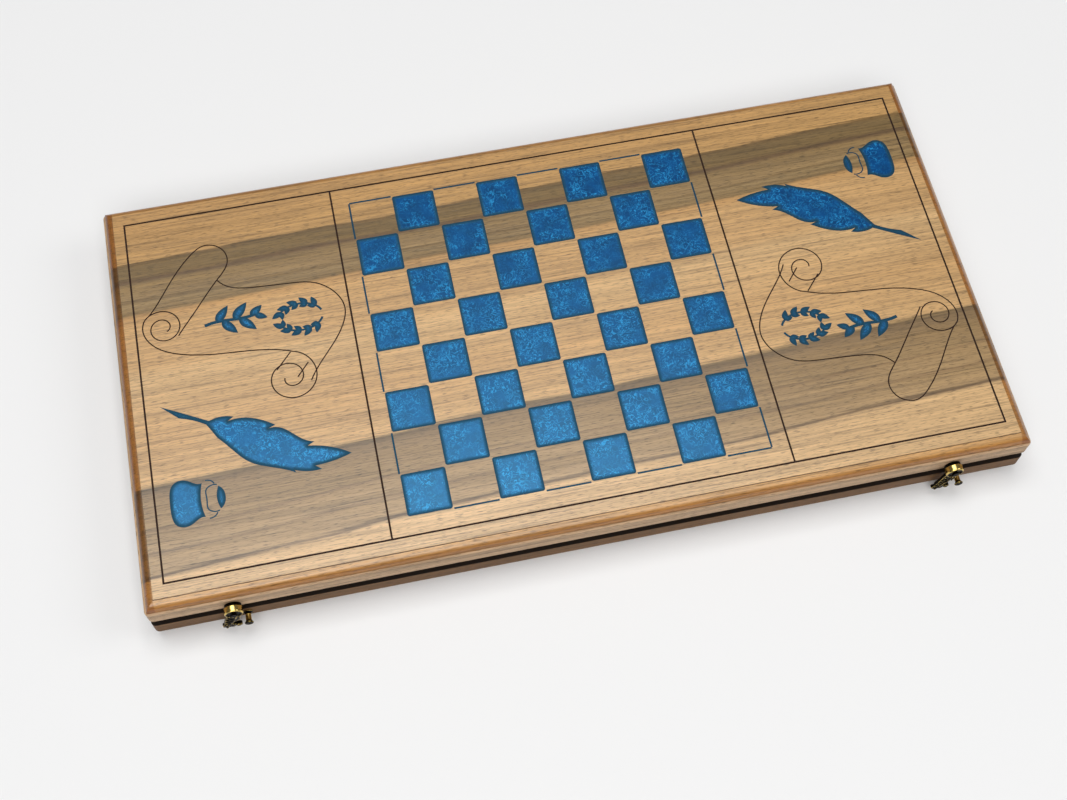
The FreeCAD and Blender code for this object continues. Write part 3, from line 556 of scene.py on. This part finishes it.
def apply(piece, kind, **settings):
    """Adds a modifier and applies it."""
    bpy.ops.object.select_all(action="DESELECT")
    piece.select_set(True)
    bpy.context.view_layer.objects.active = piece
    modifier = piece.modifiers.new(kind, kind)
    for name, value in settings.items():
        setattr(modifier, name, value)
    bpy.ops.object.modifier_apply(modifier=modifier.name)


def recast(piece, grain):
    """Fuses overlapping parts of a casting in one skin and softens it."""
    apply(piece, "REMESH", mode="VOXEL", voxel_size=grain, use_smooth_shade=True)
    apply(piece, "SMOOTH", factor=0.6, iterations=3)


def finished(piece, body, node):
    """Puts a clasp piece on its body in place of its CAD node."""
    piece.data.materials.clear()
    piece.data.materials.append(aged_brass)
    piece.data.shade_smooth()
    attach(piece, body)
    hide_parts(node)


def turned(name, centre, profile, sides=48):
    """A round piece square to the front face, drawn out step by step as (standoff, radius)."""
    bpy.ops.object.select_all(action="DESELECT")
    start, radius = profile[0]
    bpy.ops.mesh.primitive_circle_add(vertices=sides, radius=radius, fill_type="NGON",
                                      location=(centre[0], centre[1] - start, centre[2]),
                                      rotation=(math.pi / 2, 0, 0))
    piece = bpy.context.active_object
    piece.name = name
    bpy.ops.object.transform_apply(location=True, rotation=True, scale=True)
    edit(piece)
    for standoff, wide in profile[1:]:
        bpy.ops.mesh.extrude_region_move(TRANSFORM_OT_translate={"value": (0, start - standoff, 0)})
        bpy.ops.transform.resize(value=(wide / radius, 1, wide / radius),
                                 center_override=(centre[0], centre[1] - standoff, centre[2]))
        start, radius = standoff, wide
    bpy.ops.mesh.select_all(action="SELECT")
    bpy.ops.mesh.normals_make_consistent(inside=False)
    bpy.ops.object.mode_set(mode="OBJECT")
    return piece


clasps = {}
for side in ("left", "right"):
    low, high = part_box(side + "_clasp_base")
    clasps[side] = Vector(((low.x + high.x) / 2, high.y, (low.z + high.z) / 2))
between = clasps["right"] - clasps["left"]


def both_sides(piece, name, bodies, node):
    """The piece at the left clasp, and its copy at the right."""
    other = own_copy(piece.data, name + "_right")
    other.data.transform(Matrix.Translation(between))
    piece.name = name + "_left"
    finished(piece, bodies[0], "left_" + node)
    finished(other, bodies[1], "right_" + node)


pivot = clasps["left"]
low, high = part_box("left_clasp_base")
washer_radius, washer_front = (high.x - low.x) / 2, high.y - low.y
WASHER_PROFILE = [
    (0.0, washer_radius - 0.1 * MM), (0.3 * MM, washer_radius), (0.8 * MM, washer_radius),
    (1.0 * MM, washer_radius - 0.4 * MM), (1.3 * MM, washer_radius - 0.4 * MM),
    (1.5 * MM, washer_radius), (washer_front - 0.1 * MM, washer_radius),
    (washer_front, washer_radius - 0.3 * MM), (washer_front, 4.0 * MM),
    (washer_front - 0.1 * MM, 1.8 * MM)]
washer = turned("clasp_washer", pivot, WASHER_PROFILE)
apply(washer, "BEVEL", width=0.12 * MM, segments=2)
apply(washer, "SUBSURF", levels=1, render_levels=1)
mark_proud(washer, 6, 1.2 * MM)
both_sides(washer, "clasp_washer", ("upper_half", "upper_half"), "clasp_base")

# ---- Hooks ----
# Each hook is one antiqued brass casting: a dished eye with a raised rim round the pivot, a
# feathered tail whose ridges fan to the lower left, and a jaw that ends in a curled lobe.
EYE_RADIUS, EYE_FRONT, EYE_RIM = 6.2 * MM, 6.2 * MM, 0.7 * MM
PLATE_FRONT = 6.0 * MM
hook = own_copy(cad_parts["left_clasp_hook"].data, "clasp_hook")
edit(hook)
bpy.ops.mesh.remove_doubles(threshold=WELD)
bpy.ops.mesh.select_all(action="SELECT")
bpy.ops.mesh.bisect(plane_co=(0, pivot.y - PLATE_FRONT, 0), plane_no=(0, -1, 0), use_fill=True,
                    clear_outer=True)
bpy.ops.mesh.select_all(action="SELECT")
bpy.ops.mesh.normals_make_consistent(inside=False)
bpy.ops.object.mode_set(mode="OBJECT")


def on_hook(right, down, standoff):
    """Place on the hook, in mm to the right of the pivot, below it and out from the frame."""
    return pivot + Vector((right * MM, -standoff, -down * MM))


def ridge(start, end, thick, thin):
    """A tapered round ridge between two places."""
    run = end - start
    bpy.ops.object.select_all(action="DESELECT")
    bpy.ops.mesh.primitive_cone_add(vertices=20, radius1=thick, radius2=thin, depth=run.length,
                                    location=(start + end) / 2,
                                    rotation=run.to_track_quat("Z", "Y").to_euler())
    bpy.ops.object.transform_apply(location=True, rotation=True, scale=True)
    return bpy.context.active_object


def ring(centre, major, minor):
    """A raised ring square to the front face."""
    bpy.ops.object.select_all(action="DESELECT")
    bpy.ops.mesh.primitive_torus_add(major_radius=major, minor_radius=minor, major_segments=48,
                                     minor_segments=12, location=centre, rotation=(math.pi / 2, 0, 0))
    bpy.ops.object.transform_apply(location=True, rotation=True, scale=True)
    return bpy.context.active_object


# The raised rim of the eye, the curled lobe at the end of the jaw, the shaft of the tail, and barbs
# to its left and right. Places are in mm right of the pivot and below it.
LOBE, LOBE_RADIUS, LOBE_WIRE = (-0.3, 23.6), 1.25 * MM, 0.5 * MM
SHAFT = [(0.4, 6.6), (-1.6, 12.5), (-5.6, 19.5), (-8.4, 25.0)]
SHAFT_TOP, SHAFT_TIP = 0.8 * MM, 0.75 * MM
BARBS = [((-1.4, 7.2), (-5.4, 7.0)), ((-1.8, 10.4), (-6.8, 11.4)), ((-2.6, 13.6), (-8.0, 15.8)),
         ((-4.4, 17.0), (-9.2, 20.0)), ((2.6, 7.4), (1.0, 13.5))]
BARB_ROOT, BARB_TIP = 0.55 * MM, 0.65 * MM
SUNK, RAISED = PLATE_FRONT - 0.1 * MM, PLATE_FRONT + 0.1 * MM
details = [ring(pivot + Vector((0, -EYE_FRONT, 0)), EYE_RADIUS - 0.75 * MM, EYE_RIM),
           ring(on_hook(*LOBE, PLATE_FRONT), LOBE_RADIUS, LOBE_WIRE)]
for top, tip in zip(SHAFT, SHAFT[1:]):
    details.append(ridge(on_hook(*top, RAISED), on_hook(*tip, RAISED), SHAFT_TOP, SHAFT_TIP))
for root, tip in BARBS:
    details.append(ridge(on_hook(*root, SUNK), on_hook(*tip, RAISED), BARB_ROOT, BARB_TIP))
bpy.ops.object.select_all(action="DESELECT")
for piece in details:
    piece.select_set(True)
hook.select_set(True)
bpy.context.view_layer.objects.active = hook
bpy.ops.object.join()
recast(hook, 0.2 * MM)
mark_proud(hook, 8, 0.32 * MM)
# painted highlight: the upper part of the eye's round wall is set bright, as if lit from above
wear_and_highlight = hook.data.attributes["proud"]
for vertex in hook.data.vertices:
    out = math.hypot(vertex.co.x - pivot.x, vertex.co.z - pivot.z)
    if EYE_RADIUS - 0.5 * MM < out < EYE_RADIUS + 0.2 * MM and vertex.co.z > pivot.z - 2 * MM:
        wear_and_highlight.data[vertex.index].value = 1.0
both_sides(hook, "clasp_hook", ("left_hook", "right_hook"), "clasp_hook")

# ---- Pivot screws ----
# A round-headed slotted screw of the same darkened brass holds each hook and lets it turn. It goes
# through the hook's eye and the washer into the rail, and friction keeps the hook where it is put.
screw = own_copy(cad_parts["left_clasp_pivot_screw"].data, "pivot_screw")
edit(screw)
bpy.ops.mesh.remove_doubles(threshold=WELD)
bpy.ops.mesh.normals_make_consistent(inside=False)
bpy.ops.object.mode_set(mode="OBJECT")
recast(screw, 0.12 * MM)
mark_proud(screw, 8, 0.35 * MM)
both_sides(screw, "pivot_screw", ("upper_half", "upper_half"), "clasp_pivot_screw")

# ---- Catch studs ----
# A turned brass stud is driven into the lower front rail beside each hook, for its jaw to close
# round. It has a flange against the wood, a plain shank, and a head with a small boss.
low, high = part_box("left_catch_stud")
stud_centre = Vector(((low.x + high.x) / 2, pivot.y, (low.z + high.z) / 2))
stud_reach = pivot.y - low.y
shank_end = stud_reach - 2.1 * MM
STUD_PROFILE = [(0.0, 3.3 * MM), (0.5 * MM, 3.4 * MM), (0.9 * MM, 3.2 * MM), (1.1 * MM, 2.4 * MM),
                (1.6 * MM, 1.9 * MM), (shank_end, 1.85 * MM), (stud_reach - 1.6 * MM, 2.6 * MM),
                (stud_reach - 1.2 * MM, 3.0 * MM), (stud_reach - 0.7 * MM, 2.95 * MM),
                (stud_reach - 0.2 * MM, 2.3 * MM), (stud_reach - 0.35 * MM, 1.7 * MM),
                (stud_reach - 0.35 * MM, 1.1 * MM), (stud_reach - 0.05 * MM, 0.8 * MM),
                (stud_reach, 0.3 * MM)]
stud = turned("catch_stud", stud_centre, STUD_PROFILE)
apply(stud, "SUBSURF", levels=2, render_levels=2)
mark_proud(stud, 10, 0.3 * MM)
# the hook rubs the shank bright
wear_and_highlight = stud.data.attributes["proud"]
for vertex in stud.data.vertices:
    if 2 * MM < pivot.y - vertex.co.y < shank_end:
        wear_and_highlight.data[vertex.index].value = 1.0
both_sides(stud, "catch_stud", ("lower_half", "lower_half"), "catch_stud")

# ---- Studio ----
# A wide floor of matt white paper under three large soft boxes: the key straight above, a little
# behind the middle and to its left, one high in front, and a weaker fill at the right.
FLOOR_SIDE = 14
bpy.ops.object.select_all(action="DESELECT")
bpy.ops.mesh.primitive_plane_add(size=FLOOR_SIDE, location=(0, 0, 0))
floor = bpy.context.active_object
floor.name = "floor"
floor_finish, floor_tree, floor_surface = new_finish("matt_white_paper")
floor_surface.inputs["Base Color"].default_value = linear("#F0F0F0")
floor_surface.inputs["Roughness"].default_value = 0.9
floor_surface.inputs["Specular IOR Level"].default_value = 0.1
floor.data.materials.append(floor_finish)


def soft_box(name, place, target, width, height, watts):
    """A rectangular lamp at a place, turned to face its target; all lengths in metres."""
    lamp = bpy.data.lights.new(name, "AREA")
    lamp.shape = "RECTANGLE"
    lamp.size, lamp.size_y, lamp.energy = width, height, watts
    holder = bpy.data.objects.new(name, lamp)
    holder.location = place
    holder.rotation_mode = "QUATERNION"
    holder.rotation_quaternion = (Vector(target) - Vector(place)).to_track_quat("-Z", "Y")
    bpy.context.scene.collection.objects.link(holder)


soft_box("key", (-0.35, 0.75, 4.0), (-0.35, 0.75, 0), 2.9, 1.9, 76)
soft_box("front", (-0.5, -2.2, 3.4), (0, 0, 0), 3.2, 2.4, 93)
soft_box("fill", (3.2, -0.6, 3.0), (0, 0, 0), 2.0, 2.0, 30)

world = bpy.data.worlds.new("studio")
bpy.context.scene.world = world
world.use_nodes = True
surround = world.node_tree.nodes["Background"]
surround.inputs["Color"].default_value = linear("#FFFFFF")
surround.inputs["Strength"].default_value = 0.12

# ---- Camera ----
# It stands high in front of the case and a little to its left, close enough for clear perspective,
# and leans a little. Angles are in degrees and lengths in metres; the lens is in millimetres.
AZIMUTH, ELEVATION, ROLL = -13.26, 64.24, 1.50
LOOK_AT = Vector((-0.0255, -0.0572, 0.048))
DISTANCE = 1.0281
LENS, SENSOR = 51.03, 36
camera_data = bpy.data.cameras.new("camera")
camera_data.lens = LENS
camera_data.sensor_width = SENSOR
camera = bpy.data.objects.new("camera", camera_data)
bpy.context.scene.collection.objects.link(camera)
bpy.context.scene.camera = camera
azimuth, elevation = math.radians(AZIMUTH), math.radians(ELEVATION)
back = Vector((math.sin(azimuth) * math.cos(elevation), -math.cos(azimuth) * math.cos(elevation),
               math.sin(elevation)))
camera.location = LOOK_AT + back * DISTANCE
camera.rotation_mode = "QUATERNION"
camera.rotation_quaternion = (-back).to_track_quat("-Z", "Y") @ Quaternion((0, 0, 1), math.radians(ROLL))

bpy.context.scene.view_settings.view_transform = "Standard"
bpy.context.scene.view_settings.look = "None"
